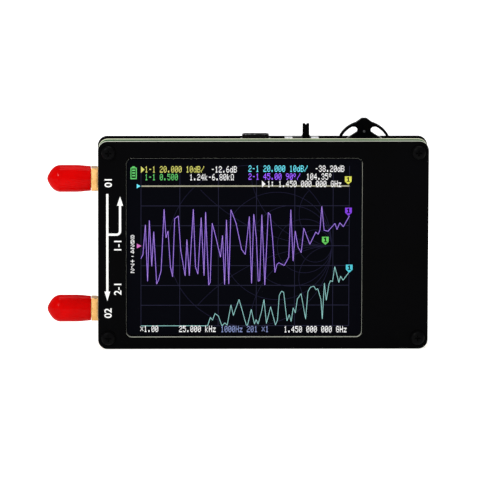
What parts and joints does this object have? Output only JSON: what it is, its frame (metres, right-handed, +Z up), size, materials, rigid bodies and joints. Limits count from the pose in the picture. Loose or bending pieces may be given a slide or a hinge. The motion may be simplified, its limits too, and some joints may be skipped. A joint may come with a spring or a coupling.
{
  "type": "antenna analyzer",
  "caption": "Pocket antenna analyzer: black board sandwich on standoffs with a touch screen, capped coaxial jacks, charging socket, power slide and thumb rocker.",
  "frame": {"origin": "middle of the main board's lower cut edge, halfway between its left and right edges and through its thickness; the part stands on the lower edges of its three boards there", "axes": "+X to the right of someone who looks at the screen, +Y away from them, from the screen to the back panel, +Z up from the lower edge to the edge with the power switch and thumb rocker"},
  "size_m": [0.1269, 0.0166, 0.0765],
  "materials": {
    "black_panel": "black solder mask on glass fibre board, low sheen, pale cut edges",
    "green_board": "green solder mask on glass fibre board, cream cut edges",
    "screen_glass": "touch panel over a lit screen, clear gloss",
    "steel": "stamped bright steel",
    "black_steel": "black zinc plating, half gloss",
    "brass": "turned brass, plain",
    "gold": "gold plated brass, bright",
    "red_vinyl": "soft red vinyl, semi gloss",
    "white_plastic": "white moulded plastic",
    "black_plastic": "black moulded plastic",
    "brown_phenolic": "brown pressed laminate",
    "adhesive": "thin double sided tape",
    "amber_film": "amber flexible film",
    "silver_pouch": "laminated foil pouch, satin",
    "red_lead": "soft red insulation",
    "black_lead": "soft black insulation",
    "chip_black": "moulded epoxy, matte"
  },
  "bodies": {
    "case": {"front_panel": "black_panel", "back_panel": "black_panel", "main_board": "green_board", "screen_glass": "screen_glass", "display_module": "steel", "display_tape": "adhesive", "display_flex": "amber_film", "front_screw_1": "black_steel", "front_screw_2": "black_steel", "front_screw_3": "black_steel", "front_screw_4": "black_steel", "rear_screw_1": "black_steel", "rear_screw_2": "black_steel", "rear_screw_3": "black_steel", "rear_screw_4": "black_steel", "front_spacer_1": "brass", "front_spacer_2": "brass", "front_spacer_3": "brass", "front_spacer_4": "brass", "rear_standoff_1": "brass", "rear_standoff_2": "brass", "rear_standoff_3": "brass", "rear_standoff_4": "brass", "antenna_jack_1": "gold", "antenna_jack_2": "gold", "jack_insulator_1": "white_plastic", "jack_insulator_2": "white_plastic", "jack_contact_1": "gold", "jack_contact_2": "gold", "usb_shell": "steel", "usb_tongue": "black_plastic", "switch_shell": "steel", "switch_base": "brown_phenolic", "jog_base": "black_plastic", "battery": "silver_pouch", "battery_tape": "adhesive", "battery_lead_red": "red_lead", "battery_lead_black": "black_lead", "battery_plug": "white_plastic", "battery_socket": "white_plastic", "shield_can_1": "steel", "shield_can_2": "steel", "processor": "chip_black", "synthesizer": "chip_black", "charger_chip": "chip_black", "reference_crystal": "gold", "status_led_1": "white_plastic", "status_led_2": "white_plastic"},
    "power_slider": {"switch_lever": "black_plastic"},
    "jog_plunger": {"jog_carrier": "white_plastic", "jog_pivot_pin": "steel"},
    "jog_rocker": {"jog_lever": "black_plastic"},
    "cap_upper": {"dust_cap_1": "red_vinyl"},
    "cap_lower": {"dust_cap_2": "red_vinyl"}
  },
  "joints": [
    {"name": "power_slide", "type": "slide", "parent": "case", "child": "power_slider", "axis": [-1, 0, 0], "range_m": [0, 0.0028]},
    {"name": "jog_press", "type": "slide", "parent": "case", "child": "jog_plunger", "axis": [0, 0, -1], "range_m": [0, 0.0005], "stiffness_N_per_m": 400, "springref_m": -0.0005},
    {"name": "jog_tilt", "type": "hinge", "parent": "jog_plunger", "child": "jog_rocker", "pos_m": [0.0337, 0.0033, 0.0661], "axis": [0, 1, 0], "range_deg": [-13, 13], "stiffness_Nm_per_rad": 0.01},
    {"name": "cap_upper_pull", "type": "slide", "parent": "case", "child": "cap_upper", "axis": [-1, 0, 0], "range_m": [0, 0.016]},
    {"name": "cap_lower_pull", "type": "slide", "parent": "case", "child": "cap_lower", "axis": [-1, 0, 0], "range_m": [0, 0.016]}
  ]
}
